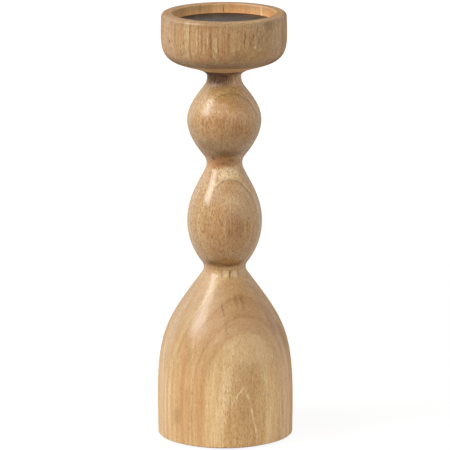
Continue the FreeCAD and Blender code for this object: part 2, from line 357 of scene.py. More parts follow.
def turned(name, outline, angles, depth=0.0, shape=None, drawn=None):
    """A surface of revolution: point (a, row) = (r cos a, r sin a, z), with r a little less where it is sanded.

    An outline that starts and ends on the axis is closed by a pole at each end, and any other one closes on itself.
    """
    table = outline.table()
    poles = table[0, 0] == 0.0 and table[-1, 0] == 0.0
    body = table[1:-1] if poles else table[:-1]
    r = np.repeat(body[:, :1], len(angles), axis=1)
    z = np.repeat(body[:, 1:2], len(angles), axis=1)
    a = np.repeat(angles[None, :], len(body), axis=0)
    r = r - body[:, 2:3] * sanding(a, z, depth)
    if shape is not None:
        r, z = shape(r, z, a)
    points = np.stack([r * np.cos(a), r * np.sin(a), z], axis=-1).reshape(-1, 3)
    quads = grid_faces(len(body), len(angles), closed=not poles)
    triangles = np.zeros((0, 3), int)
    if poles:
        side = np.arange(len(angles))
        nxt = (side + 1) % len(angles)
        low, high = len(points), len(points) + 1
        last = (len(body) - 1) * len(angles)
        points = np.vstack([points, [[0, 0, table[0, 1]]], [[0, 0, table[-1, 1]]]])
        bottom = np.stack([np.full(len(side), low), nxt, side], axis=-1)
        top = np.stack([last + side, last + nxt, np.full(len(side), high)], axis=-1)
        triangles = np.vstack([bottom, top])
    piece = mesh_from(name, points, quads, triangles)
    if drawn is not None:
        shades = np.zeros((len(points), 4))
        shades[: r.size] = drawn(r, z, a).reshape(-1, 4)
        layer = piece.data.attributes.new("figure", "FLOAT_COLOR", "POINT")
        layer.data.foreach_set("color", shades.astype(np.float32).ravel())
    return piece


class Nodes:
    """Adds shader nodes to a material, each to the right of the last, and links or sets their inputs."""

    def __init__(self, tree):
        self.tree = tree
        self.tree.nodes.clear()
        self.count = 0

    def add(self, kind, inputs=None, **settings):
        node = self.tree.nodes.new("ShaderNode" + kind)
        node.location = (190 * (self.count % 12), -260 * (self.count // 12))
        self.count += 1
        for key, value in settings.items():
            setattr(node, key, value)
        for key, value in (inputs or {}).items():
            if isinstance(value, bpy.types.NodeSocket):
                self.tree.links.new(value, node.inputs[key])
            else:
                node.inputs[key].default_value = value
        return node

    def math(self, operation, *values, clamp=False):
        return self.add("Math", dict(enumerate(values)), operation=operation, use_clamp=clamp).outputs[0]

    def scaled(self, vector, by):
        return self.add("VectorMath", {0: vector, 1: by}, operation="MULTIPLY").outputs[0]

    def times(self, *values):
        return reduce(lambda product, value: self.math("MULTIPLY", product, value), values)

    def plus(self, *values):
        return reduce(lambda total, value: self.math("ADD", total, value), values)

    def vector(self, *values):
        return self.add("CombineXYZ", dict(enumerate(values))).outputs[0]

    def noise(self, vector, scale, detail=2.0, roughness=0.5):
        """Soft noise of a place that is scaled evenly by one number, or along each axis by its own."""
        if isinstance(scale, tuple):
            vector, scale = self.scaled(vector, scale), 1.0
        inputs = {"Vector": vector, "Scale": scale, "Detail": detail, "Roughness": roughness}
        return self.add("TexNoise", inputs).outputs["Fac"]

    def between(self, value, low, high, new_low=0.0, new_high=1.0):
        """A value's place between two limits, eased at both ends and held beyond them."""
        inputs = {"Value": value, "From Min": low, "From Max": high, "To Min": new_low, "To Max": new_high}
        return self.add("MapRange", inputs, interpolation_type="SMOOTHSTEP").outputs["Result"]

    def ramp(self, value, stops):
        """A colour band from places and the colours there, which are given as they should look on screen."""
        node = self.add("ValToRGB", {"Fac": value})
        band = node.color_ramp
        while len(band.elements) < len(stops):
            band.elements.new(0.5)
        for element, (place, shade) in zip(band.elements, stops):
            element.position = place
            element.color = (*screen(*shade), 1.0)
        return node.outputs["Color"]

    def curve(self, value, points):
        """A smooth curve through points whose places and heights lie between 0 and 1."""
        node = self.add("FloatCurve", {"Value": value})
        line = node.mapping.curves[0]
        while len(line.points) < len(points):
            line.points.new(0.5, 0.5)
        for point, (x, y) in zip(line.points, points):
            point.location = (x, y)
        node.mapping.update()
        return node.outputs["Value"]

    def mix(self, factor, first, second, blend="MIX"):
        """Two colours mixed, each one a socket or three numbers."""
        node = self.add("Mix", data_type="RGBA", blend_type=blend)
        for key, value in ((0, factor), (6, first), (7, second)):
            if isinstance(value, bpy.types.NodeSocket):
                self.tree.links.new(value, node.inputs[key])
            else:
                node.inputs[key].default_value = (*value, 1.0) if key else value
        return node.outputs[2]

    def bump(self, height, distance, strength):
        return self.add("Bump", {"Height": height, "Distance": distance, "Strength": strength}).outputs[0]

    def surface(self, tone, roughness, normal, uniform):
        """Ends a material with one Principled surface, whose uniform values are set on its own sockets."""
        inputs = {"Base Color": tone, "Roughness": roughness, "Normal": normal, **uniform}
        self.add("OutputMaterial", {"Surface": self.add("BsdfPrincipled", inputs).outputs[0]})

    def seen(self):
        """1 for what the camera sees, also by mirror or through glass, and 0 for what lights the holder."""
        rays = self.add("LightPath").outputs
        other = self.math("MAXIMUM", rays["Is Glossy Ray"], rays["Is Transmission Ray"])
        return self.math("MAXIMUM", rays["Is Camera Ray"], other)


def screen(*rgb):
    """Scene-linear values of a colour that is given as it should look on screen, 0 to 255."""
    c = np.array(rgb) / 255.0
    return tuple(np.where(c > 0.04045, ((c + 0.055) / 1.055) ** 2.4, c / 12.92).tolist())


# Strokes of figure, where the wood shows them, and some of painted shade and light: degrees round from the front,
# height over the table, half width and half height in millimetres, lean to the side for each millimetre of rise, and
# strength.
STROKES = {
    "cup": {
        "pale": (
            (150, 296, 1.2, 13, 0, 0.8), (196, 295, 0.6, 12, 0, 0.6), (246, 296, 1, 11, 0, 0.6),
            (-35.3, 298, 2, 15, 0, 0.5), (-30, 292, 0.7, 7, 0, 0.5), (-42, 296, 0.8, 8, 0, 0.5),
            (-18.2, 296, 0.45, 9, 0, 0.7), (-9, 295, 0.7, 11, 0, 0.8), (8, 292, 1.3, 6, 0, 0.5),
            (29, 293.3, 1.7, 0.9, -0.6, 1.9), (35.5, 291.9, 3, 0.9, -0.2, 2), (60, 294, 0.8, 10, 0, 0.4),
            (-39.5, 297, 1.2, 13, 0, 0.5), (-25, 298, 0.5, 9, 0, 0.9), (-22.6, 297, 0.45, 9, 0, 0.8),
            (-14.9, 299, 0.5, 7, 0, 0.9), (-7.3, 295, 0.5, 9, 0, 0.9),
        ),
        "dark": (
            (172, 297, 0.6, 10, 0, 0.5), (208, 298, 8, 9, 0, 0.2), (104, 300, 0.7, 6, 0.1, 0.5),
            (236, 293, 0.6, 5, 0, 0.5), (42, 297, 13, 12, 0, 0.22), (24, 298, 1, 6, -0.5, 0.3),
            (46, 307, 6, 4, 0, 0.5), (-11.5, 287.5, 0.7, 0.6, 0, 1), (-59, 295, 0.8, 0.6, 0, 0.9),
            # (0, 275.5) is painted shade all round the cup's underside by the stem.
            (0, 275.5, 400, 7.5, 0, 0.42), (12, 287, 6, 4, 0, 0.3), (68, 296, 2, 12, 0, 0.4),
            (-50, 300, 0.9, 9, 0, 0.45), (-39, 295, 0.6, 12, 0, 0.4), (-32.5, 297, 0.5, 12, 0, 0.55),
            (-12.2, 297, 0.45, 10, 0, 0.7), (-5.5, 298, 0.45, 9, 0, 0.55), (-20.2, 298, 0.45, 8, 0, 0.7),
            (-23.8, 298, 0.4, 8, 0, 0.5), (4.5, 300, 0.6, 7, 0, 0.5), (19, 300, 0.6, 5, 0.1, 0.9),
            (27, 300.5, 0.6, 2.6, 0.3, 0.8), (33, 297.6, 0.6, 2.4, 0.3, 0.75), (31, 303.5, 0.5, 2, 0.2, 0.75),
            (38, 301, 0.6, 2.2, 0.35, 0.7), (43, 298, 0.6, 2.4, 0.3, 0.65), (40, 294.6, 0.6, 1.8, 0.4, 0.65),
            (24, 294.6, 0.6, 2.2, 0.3, 0.65), (49, 302, 0.6, 3, 0.2, 0.65), (54, 297, 0.6, 3.4, 0.1, 0.6),
        ),
        "warm": (
            (0, 312.3, 400, 1.5, 0, 0.45), (224, 296, 4, 12, 0, 0.6), (120, 296, 5, 11, 0, 0.6),
            (-1, 293, 3, 8, 0.5, 0.7), (-66, 297, 5, 10, 0, 0.5), (-24, 297, 7, 12, 0, 0.55),
            # (0, 285) darkens and warms the cup's underside all round as painted shade.
            (0, 285, 400, 6, 0, 0.55), (0, 299, 400, 12, 0, 0.32), (60, 289, 12, 6, 0, 0.4),
        ),
    },
    "recess": {
        "pale": (
            # (180, 308) and (236, 308) are broad painted light that lifts the recess wall out of its shade.
            (180, 308, 300, 12, 0, 0.15), (133.5, 308, 1.3, 12, 0, 0.8), (236, 308, 30, 12, 0, 0.4),
            (204.5, 308, 0.7, 12, 0, 0.6),
        ),
        "dark": (
            (207.5, 310, 0.9, 3.4, 0, 0.3), (236, 307, 3, 4, 0, 0.2), (180.7, 307.2, 0.3, 2.4, 0.06, 0.9),
        ),
        "warm": (
            (150, 308, 26, 12, 0, 0.9), (190, 308, 8, 12, 0, 0.6), (112, 308, 12, 12, 0, 1.4),
            (230, 308, 22, 12, 0, 0.7),
        ),
    },
    "stem": {
        "pale": (
            (150, 172, 1.2, 14, 0.05, 0.6), (215, 236, 1.4, 12, -0.05, 0.6), (186, 198, 6, 4, 0, 0.6),
            (34, 264, 2.2, 3.4, 0, 0.6), (17, 263, 1.2, 3, 0, 0.5), (14, 196.5, 8, 4.2, 0, 1.2),
            (20, 178, 3.5, 3, 0, 0.35), (67.2, 173.5, 1.6, 8, 0, 1.2), (63, 246, 1.4, 9, -0.32, 1),
        ),
        "dark": (
            (190, 150, 5, 5, 0, 0.25), (165, 243, 1, 2.2, 0.1, 0.7), (176, 212, 10, 3, 0, 0.3),
            # (-25, 267) and (18, 270) are painted shadow of the cup on the upper neck, not figure.
            (110, 164, 0.7, 1.2, 0, 0.9), (-25, 267, 11.5, 6.6, 0, 1.15), (18, 270, 8, 2.2, 0, 0.9),
            (24, 265, 0.6, 3, 0, 0.8), (41, 265, 0.6, 3, 0, 0.7), (-33, 207.5, 1.3, 1.6, 0, 0.9),
            # (-8, 212), (-38, 217), (10, 211.5) and (4, 203) are partly figure, partly painted shade under the upper
            # bead.
            (-4, 204, 1.2, 1.2, 0, 0.8), (22, 205.5, 3, 1.6, 0, 0.5), (-8, 212, 24, 4, 0, 0.22),
            (-38, 217, 7, 5, 0, 0.35), (10, 211.5, 12, 2.6, 0, 0.6), (4, 203, 9, 1.5, 0, 0.3),
            # (-30, 131), (4, 129.5) and (38, 131) are painted shade in the crease under the lower bead.
            (-20, 152, 0.7, 1, 0, 1), (-30, 131, 6, 2.6, 0, 0.6), (4, 129.5, 13, 1.8, 0, 0.55),
            (38, 131, 5, 2, 0, 0.35), (-34.8, 236, 0.5, 2.2, 0, 0.5), (-28.2, 234.7, 0.5, 2.2, 0, 0.4),
            (-24.4, 237.5, 0.45, 2, 0, 0.35), (-11, 236.4, 0.45, 3, 0, 0.45), (-5.8, 236.3, 0.5, 3.4, 0, 0.45),
            (0.2, 237, 0.5, 3.4, 0, 0.5), (7.1, 236, 0.5, 2.8, 0, 0.4), (21.5, 237.3, 0.5, 2.6, 0, 0.4),
            (37.1, 235.5, 0.5, 2.4, 0, 0.35), (41.3, 232.8, 0.5, 2, 0, 0.35), (19, 162, 8, 11, 0.25, 0.14),
            (58, 246, 0.6, 9, -0.32, 0.6),
        ),
        "warm": (
            (205, 168, 6, 13, -0.1, 0.5), (140, 232, 5, 10, 0, 0.5), (33, 264, 6, 4.5, 0, 0.9),
            # (-22, 205) and (22, 207) are partly the waist's orange, partly painted shade under the upper bead; (0,
            # 130) is painted shade in the crease under the lower bead.
            (-22, 205, 14, 6, 0, 1.2), (22, 207, 11, 4, 0, 0.7), (0, 130, 34, 3.5, 0, 0.7),
            # (-40, 213) and (-16, 206.5) are partly the waist's orange, partly painted shade under the upper bead.
            (-8, 237, 16, 5.5, 0, 0.7), (-40, 213, 8, 6, 0, 0.6), (-16, 206.5, 13, 4, 0, 0.6),
            (24, 198, 0.8, 5, 0, 0.8), (6, 198, 0.6, 5, 0, 0.5), (-32, 148, 7, 12, 0, 0.45), (4, 167, 1.6, 5, 0, 0.7),
            (-12, 163, 3, 14, 0, 0.4), (-14, 148, 16, 17, 0.3, 0.5), (67.2, 173.5, 2.4, 9, 0, 1.2),
            (12, 150, 18, 14, 0, 0.3), (-2, 231, 26, 9, 0, 0.4), (14, 245, 14, 8, 0, 0.25),
            (63, 246, 2.2, 10, -0.32, 1.1),
        ),
    },
    "bell": {
        "pale": (
            (172, 40, 3.6, 24, -0.16, 0.8), (150, 52, 0.9, 20, -0.08, 0.6), (206, 58, 0.7, 12, 0.3, 0.8),
            (240, 42, 0.8, 26, 0, 0.5), (100, 40, 0.8, 24, 0, 0.5), (-20, 122, 1, 2.6, 0, 0.7),
            (27, 122.5, 1, 2.8, 0, 0.7), (2, 122.5, 0.9, 2.6, 0, 0.6), (-73, 71, 1, 20, -0.19, 0.8),
            (-2, 34, 4.6, 26, 0.19, 0.85), (-11, 44, 1, 22, 0.1, 0.5), (6, 72, 1.4, 9, 0.2, 0.35),
            (10.5, 40, 0.8, 6.3, 0.71, 1.7), (18.2, 41.4, 0.65, 5, -0.5, 1.4), (24.8, 21, 0.65, 16, -0.21, 1.4),
            (38, 40, 1, 24, 0, 0.5), (47, 42, 0.8, 26, 0, 0.5), (54, 40, 1, 26, 0, 0.5), (52, 30, 15, 32, 0, 0.22),
            (-56, 36, 0.9, 26, 0, 0.5), (-62, 30, 0.7, 26, 0, 0.5), (-30, 64, 0.7, 18, -0.1, 0.5),
        ),
        "dark": (
            (196, 30, 7, 18, 0, 0.12), (186, 97, 1.2, 4.5, 0.1, 0.5), (160, 104, 1.4, 4, 0, 0.4),
            (110, 36, 0.5, 14, 0, 0.6), (262, 40, 0.5, 12, 0, 0.5), (13, 122.5, 0.8, 2.8, 0, 0.9),
            (38, 122.5, 0.8, 2.6, 0, 0.5), (-8, 122.5, 0.7, 2.4, 0, 0.5), (-3, 100, 0.7, 5, -0.22, 0.5),
            (1.5, 88, 1.2, 5, -0.1, 0.28), (17, 105, 1.6, 5, 0, 0.34), (26, 104, 1.8, 5.5, 0, 0.45),
            (44, 92, 20, 16, 0, 0.06), (17, 57, 6, 7, 0, 0.12), (16, 28, 7, 22, 0, 0.1), (58, 23.5, 0.4, 12, 0, 0.5),
            (72, 76, 4, 10, 0, 0.4), (58, 88, 2.5, 8, -0.2, 0.35), (-46, 22, 4, 6, 0, 0.3),
        ),
        "warm": (
            (128, 46, 5, 30, 0, 0.5), (224, 44, 6, 30, 0, 0.4), (-37, 52, 8, 34, 0, 0.22),
            (-21.5, 38, 3.6, 34, 0, 0.4), (-10, 90, 7, 12, 0, 0.5), (44, 94, 20, 16, 0, 0.4), (70, 40, 5, 24, 0, 0.4),
        ),
    },
}


def figure(part, r, z, a, coarse=1.0):
    """Strokes of one part, each strength * exp(-(u / w)^4 - (v / h)^4), where v is the height from its middle and u
    the way round from its middle line, which leans and wavers by 0.12 mm * sin(0.9 v + angle). The strongest stroke
    of each kind counts. Most are figure, some are painted shade and a few painted light. Red is dark, green pale and
    blue warm, and alpha says how coarse the grain is, which also sets how far painted light lifts the recess."""
    shades = {"dark": np.zeros_like(z), "pale": np.zeros_like(z), "warm": np.zeros_like(z)}
    for kind, strokes in STROKES[part].items():
        for angle, level, width, tall, lean, strength in strokes:
            rise = z / MILLIMETRE - level
            turn = np.mod(a + 1.5 * math.pi - math.radians(angle), 2 * math.pi) - math.pi
            off = r / MILLIMETRE * turn - lean * rise - 0.12 * np.sin(0.9 * rise + angle)
            stroke = strength * np.exp(-((off / width) ** 4) - (rise / tall) ** 4)
            shades[kind] = np.maximum(shades[kind], stroke)
    return np.stack([shades["dark"], shades["pale"], shades["warm"], np.full_like(z, coarse)], axis=-1)


def wood(n, finish):
    """Satin-lacquered mango wood. Growth layers stand nearly on edge and face the front, so each turned form cuts
    them in rings and arches. Pores run up the trunk: dashes on upright walls, dots on shoulders. Its lengths are in
    millimetres. The lacquer loses gloss towards the outline."""
    mm = n.scaled(n.add("TexCoord").outputs["Object"], (1 / MILLIMETRE,) * 3)
    x, y, z = n.add("SeparateXYZ", {0: mm}).outputs
    height = n.math("DIVIDE", z, 320.0)
    figure_and_shade_data = n.add("Attribute", attribute_name="figure").outputs
    dark, pale, warm = n.add("SeparateColor", {0: figure_and_shade_data["Color"]}).outputs
    coarse = figure_and_shade_data["Alpha"]

    def along(*points):
        """A curve over the height, as places from 0 at the table to 1 at 320 mm, and its values there."""
        return n.curve(height, points)

    facing = along(
        (0.0, 0.19), (0.14, 0.195), (0.2, 0.205), (0.265, 0.24), (0.335, 0.255), (0.378, 0.185), (0.5, 0.145),
        (0.6, 0.142), (0.75, 0.138), (0.84, 0.17), (0.91, 0.355), (1.0, 0.36),
    )
    turn = n.times(facing, math.radians(90))
    sine, cosine = n.math("SINE", turn), n.math("COSINE", turn)
    wander = n.noise(mm, (0.03, 0.03, 0.012))
    ripple = n.noise(mm, (0.5, 0.5, 0.08), detail=3.0, roughness=0.65)
    waver = n.times(n.plus(wander, ripple, -1.0), 1.6)
    depth = n.plus(n.math("SUBTRACT", n.times(x, sine), n.times(y, cosine)), waver)
    across = n.plus(n.times(x, cosine), n.times(y, sine))

    tone = n.ramp(n.math("DIVIDE", n.plus(depth, 50.0), 100.0), (
        (0.0, (204, 160, 112)), (0.045, (196, 148, 98)), (0.055, (216, 172, 120)), (0.12, (206, 160, 108)),
        (0.15, (200, 150, 98)), (0.16, (214, 168, 116)), (0.22, (204, 154, 102)), (0.235, (212, 166, 116)),
        (0.30, (206, 160, 110)), (0.335, (196, 146, 96)), (0.345, (214, 170, 120)), (0.42, (210, 168, 122)),
        (0.48, (216, 174, 128)), (0.56, (212, 168, 118)), (0.625, (212, 166, 112)), (0.65, (222, 182, 124)),
        (0.662, (224, 184, 126)), (0.668, (207, 161, 106)), (0.752, (209, 161, 106)), (0.765, (199, 149, 96)),
        (0.80, (211, 163, 109)), (0.842, (203, 153, 101)), (0.85, (216, 171, 118)), (0.902, (207, 159, 105)),
        (0.91, (224, 181, 124)), (0.963, (222, 179, 122)), (0.972, (214, 169, 112)), (1.0, (209, 164, 108)),
    ))
    layers = n.vector(depth, across, z)
    slow = n.noise(layers, (0.28, 0.09, 0.006), detail=3.0, roughness=0.6)
    streak = n.noise(layers, (0.9, 0.5, 0.02), detail=3.0, roughness=0.65)
    tone = n.mix(n.between(slow, 0.45, 0.72, 0.0, 0.4), tone, finish.pale)
    tone = n.mix(n.between(slow, 0.5, 0.25, 0.0, 0.35), tone, finish.amber)
    tone = n.mix(n.between(streak, 0.5, 0.75, 0.0, 0.5), tone, finish.pale)
    tone = n.mix(n.between(streak, 0.48, 0.25, 0.0, 0.5), tone, finish.amber)

    fibre = n.noise(mm, (1.9, 1.9, 0.42), roughness=0.6)
    thread = n.noise(mm, (2.9, 2.9, 0.6), detail=1.0)
    flecks = n.between(n.noise(mm, (1.3, 1.3, 0.3), roughness=0.7), 0.42, 0.62)

    def ring(at, half, low, high, shade, strength):
        """One thin growth line of this half width where the depth is right, between two heights."""
        line = n.between(n.math("ABSOLUTE", n.math("SUBTRACT", depth, at)), half, 0.3 * half)
        ends = n.times(n.between(z, low, low + 4.0), n.between(z, high, high - 4.0))
        broken = n.between(fibre, 0.35, 0.58, 0.2, 1.1)
        return n.mix(n.times(line, ends, broken, strength), tone, screen(*shade))

    right = n.between(across, -17.0, -5.0, 0.15, 1.0)
    tone = ring(16.4, 0.65, 120.0, 258.0, (124, 88, 46), n.times(right, 0.62))
    tone = ring(14.9, 0.7, 122.0, 256.0, (228, 190, 112), n.between(across, 3.0, 11.0, 0.0, 0.75))
    tone = ring(34.6, 0.9, 60.0, 112.0, (182, 130, 82), 0.5)
    tone = ring(26.0, 0.9, 80.0, 118.0, (184, 132, 84), 0.5)

    # Warm, pale and dark strokes: mostly figure, but some are painted shade under the cup and beads, and some painted
    # light in the recess.
    tone = n.mix(n.times(warm, n.between(flecks, 0.0, 1.0, 0.65, 0.45)), tone, screen(210, 140, 78))
    tone = n.mix(n.times(pale, n.between(flecks, 0.0, 1.0, 0.4, 0.95)), tone, screen(246, 214, 166))
    tone = n.mix(n.times(dark, n.between(flecks, 0.0, 1.0, 1.0, 0.6)), tone, screen(92, 56, 32))

    lines = n.noise(mm, (1.3, 1.3, 0.035), roughness=0.6)
    grain = n.plus(
        n.between(fibre, 0.3, 0.7, -0.16, 0.16),
        n.between(thread, 0.3, 0.7, -0.1, 0.1),
        n.between(lines, 0.3, 0.7, -0.13, 0.13),
    )
    contrast = along(
        (0.0, 0.47), (0.3, 0.47), (0.42, 0.62), (0.62, 0.64), (0.7, 0.82), (0.84, 0.8), (0.9, 0.7), (1.0, 0.7)
    )
    grain = n.times(grain, coarse, n.times(contrast, 2.0))
    shades = {0: n.vector(grain, grain, grain), 1: (0.48, 1.0, 1.5), 2: (1.0, 1.0, 1.0)}
    tint = n.add("VectorMath", shades, operation="MULTIPLY_ADD").outputs[0]
    tone = n.mix(1.0, tone, tint, "MULTIPLY")

    cells = n.add("TexVoronoi", {"Vector": n.scaled(mm, (1.25, 1.25, 0.3)), "Scale": 1.0}).outputs
    chance = n.add("SeparateColor", {0: cells["Color"]}).outputs[0]
    crowd = n.math("MAXIMUM", n.between(depth, 45.4, 47.4, 0.07, 0.9), n.between(height, 0.35, 0.42, 0.0, 0.48))
    core = n.between(cells["Distance"], 0.44, 0.24)
    pores = n.times(core, coarse, n.math("LESS_THAN", chance, crowd))
    strength = along((0.0, 0.52), (0.33, 0.52), (0.42, 0.75), (0.84, 0.75), (0.88, 0.48), (1.0, 0.48))
    tone = n.mix(n.times(pores, strength), tone, finish.brown)

    # Brightness by height: partly the wood's own tone, partly painted bounce light that makes the wood lighter towards
    # the foot.
    tone_and_painted_bounce = along(
        (0.0, 0.85), (0.12, 0.84), (0.22, 0.71), (0.32, 0.59), (0.4, 0.645), (0.46, 0.675), (0.54, 0.635),
        (0.6, 0.63), (0.86, 0.57), (0.955, 0.55), (0.97, 0.46), (1.0, 0.46),
    )
    # Painted light: where the grain is fine, in the recess, the wood is made about half as bright again against its
    # shade.
    tone_and_painted_bounce = n.times(tone_and_painted_bounce, n.between(coarse, 0.0, 1.0, 2.6, 1.5))
    tone = n.mix(1.0, tone, n.scaled(tone_and_painted_bounce, (0.925, 0.95, 0.97)), "MULTIPLY")

    satin = along(
        (0.0, 0.28), (0.2, 0.27), (0.34, 0.27), (0.4, 0.22), (0.46, 0.19), (0.6, 0.19), (0.66, 0.24),
        (0.74, 0.27), (0.84, 0.27), (0.88, 0.34), (1.0, 0.36),
    )
    cloudy = n.between(n.noise(mm, (0.12, 0.12, 0.05)), 0.3, 0.7, -0.03, 0.03)
    edgewise = n.add("LayerWeight", {"Blend": 0.5}).outputs["Facing"]
    dulled = n.between(edgewise, 0.5, 0.95, 0.0, 0.5)
    rough = n.math("ADD", n.plus(cloudy, satin, n.times(dark, 0.3)), dulled, clamp=True)
    relief = n.plus(grain, n.times(pores, -0.3))
    n.surface(tone, rough, n.bump(relief, 0.00006, 0.12), {"IOR": 1.5, "Specular IOR Level": 0.5})


def powder_coat(n, finish):
    """Satin black powder coat: a fine orange-peel skin, rubbed paler where candles have stood."""
    place = n.add("TexCoord").outputs["Object"]
    peel = n.noise(place, 2600.0)
    cloud = n.noise(place, 90.0, detail=4.0, roughness=0.6)
    tone = n.mix(n.between(cloud, 0.45, 0.75, 0.0, 0.22), finish.plate, screen(50, 40, 31))
    rough = n.between(cloud, 0.3, 0.7, 0.34, 0.46)
    n.surface(tone, rough, n.bump(peel, 0.00003, 0.35), {"Specular IOR Level": 0.12})


def zinc(n, finish):
    """Bright zinc plate, a little cloudy and finely brushed."""
    place = n.add("TexCoord").outputs["Object"]
    cloud = n.noise(place, 600.0, detail=3.0)
    brush = n.noise(place, (5200.0, 5200.0, 900.0))
    tone = n.mix(n.between(cloud, 0.35, 0.7, 0.0, 0.4), finish.zinc, screen(176, 172, 160))
    rough = n.between(cloud, 0.3, 0.7, 0.24, 0.42)
    n.surface(tone, rough, n.bump(brush, 0.00001, 0.3), {"Metallic": 1.0})


def felt(n, finish):
    """Dense pressed felt: matted hairs of several browns, and no gloss."""
    place = n.add("TexCoord").outputs["Object"]
    hairs = n.noise(place, 2400.0, detail=4.0, roughness=0.7)
    clumps = n.noise(place, 500.0)
    tone = n.mix(n.between(hairs, 0.3, 0.7), screen(60, 50, 42), finish.felt)
    tone = n.mix(n.between(clumps, 0.4, 0.75, 0.0, 0.4), tone, screen(104, 92, 80))
    n.surface(tone, 0.95, n.bump(hairs, 0.0001, 0.6), {"Sheen Weight": 0.35})


def pale_floor(n, finish):
    """A pale floor that looks white from where one stands, keeps the holder's shadow and lights it softly."""
    place = n.add("TexCoord").outputs["Object"]
    away = n.add("VectorMath", {0: place}, operation="LENGTH").outputs["Value"]
    bounce = n.mix(n.between(away, 0.08, 0.5), finish.floor, screen(128, 128, 128))
    matt = n.add("BsdfDiffuse", {"Color": bounce})
    faint = n.add("BsdfDiffuse", {"Color": (0.18, 0.18, 0.18, 1.0)})
    glow = n.add("Emission", {"Color": (1.0, 1.0, 1.0, 1.0), "Strength": n.between(away, 0.3, 1.6, 0.9, 1.0)})
    bright = n.add("AddShader", {0: faint.outputs[0], 1: glow.outputs[0]})
    mixed = n.add("MixShader", {0: n.seen(), 1: matt.outputs[0], 2: bright.outputs[0]})
    n.add("OutputMaterial", {"Surface": mixed.outputs[0]})


MATERIALS = {
    "satin_mango_wood": wood,
    "black_powder_coat": powder_coat,
    "bright_zinc": zinc,
    "pressed_felt": felt,
    "pale_floor": pale_floor,
}


def paint(piece, name):
    """Gives a piece one material, which is made the first time that it is asked for."""
    material = bpy.data.materials.get(name)
    if material is None:
        material = bpy.data.materials.new(name)
        material.use_nodes = True
        MATERIALS[name](Nodes(material.node_tree), bpy.context.scene.holder_finishes)
    piece.data.materials.clear()
    piece.data.materials.append(material)


def dress(piece, material, body, slot, *nodes):
    """Gives a piece its material and body, and lets it stand for CAD nodes. Its slot is not used."""
    paint(piece, material)
    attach(piece, body)
    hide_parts(*nodes)


class HOLDER_OT_bell(Operator):
    """Turns the bell base, bored from below and mortised on top."""

    bl_idname = "holder.bell"
    bl_label = "Bell base"

    def execute(self, context):
        bell, stem, turning = context.scene.holder_bell, context.scene.holder_stem, context.scene.holder_turning
        bore_r = BASE_WASHER_HIGH.x + bell.washer_gap
        hole_r = stem.base_screw_r + stem.screw_gap
        bore_z = BASE_WASHER_HIGH.z
        mortise_z = bore_z + bell.web
        neck = (stem.lower_neck_r, LOWER_SEAM, stem.lower_hollow)
        lean, edge = stem.lower_leans[0], bell.foot_edge_r
        ease = math.degrees(math.asin(stem.seam_ease / stem.lower_hollow))
        outline = Outline(bore_r, FOOT, turning.step)
        outline.line(bell.foot_r - edge, FOOT, 8)
        outline.sanded = 1.0
        outline.rounding(bell.foot_r - edge, FOOT + edge, edge, -90, 0)
        outline.flank(0, bell.foot_r + bell.swell, FOOT + bell.widest_h, 0, bell.foot_shares)
        outline.flank(0, *hollow_end(*neck, -lean), -lean, bell.shoulder)
        outline.hollow(*neck, -lean, -ease)
        outline.sanded = 0.0
        outline.lines((stem.lower_neck_r - stem.seam_ease, LOWER_SEAM), (bell.mortise_r, LOWER_SEAM))
        outline.lines((bell.mortise_r, mortise_z), (hole_r, mortise_z), (hole_r, bore_z), (bore_r, bore_z))
        outline.line(bore_r, FOOT, 4)
        angles = even_angles(turning.around)
        piece = turned("turned_bell", outline, angles, turning.waver, drawn=partial(figure, "bell"))
        dress(piece, "satin_mango_wood", "stand", "wood", "bell_base")
        return {"FINISHED"}


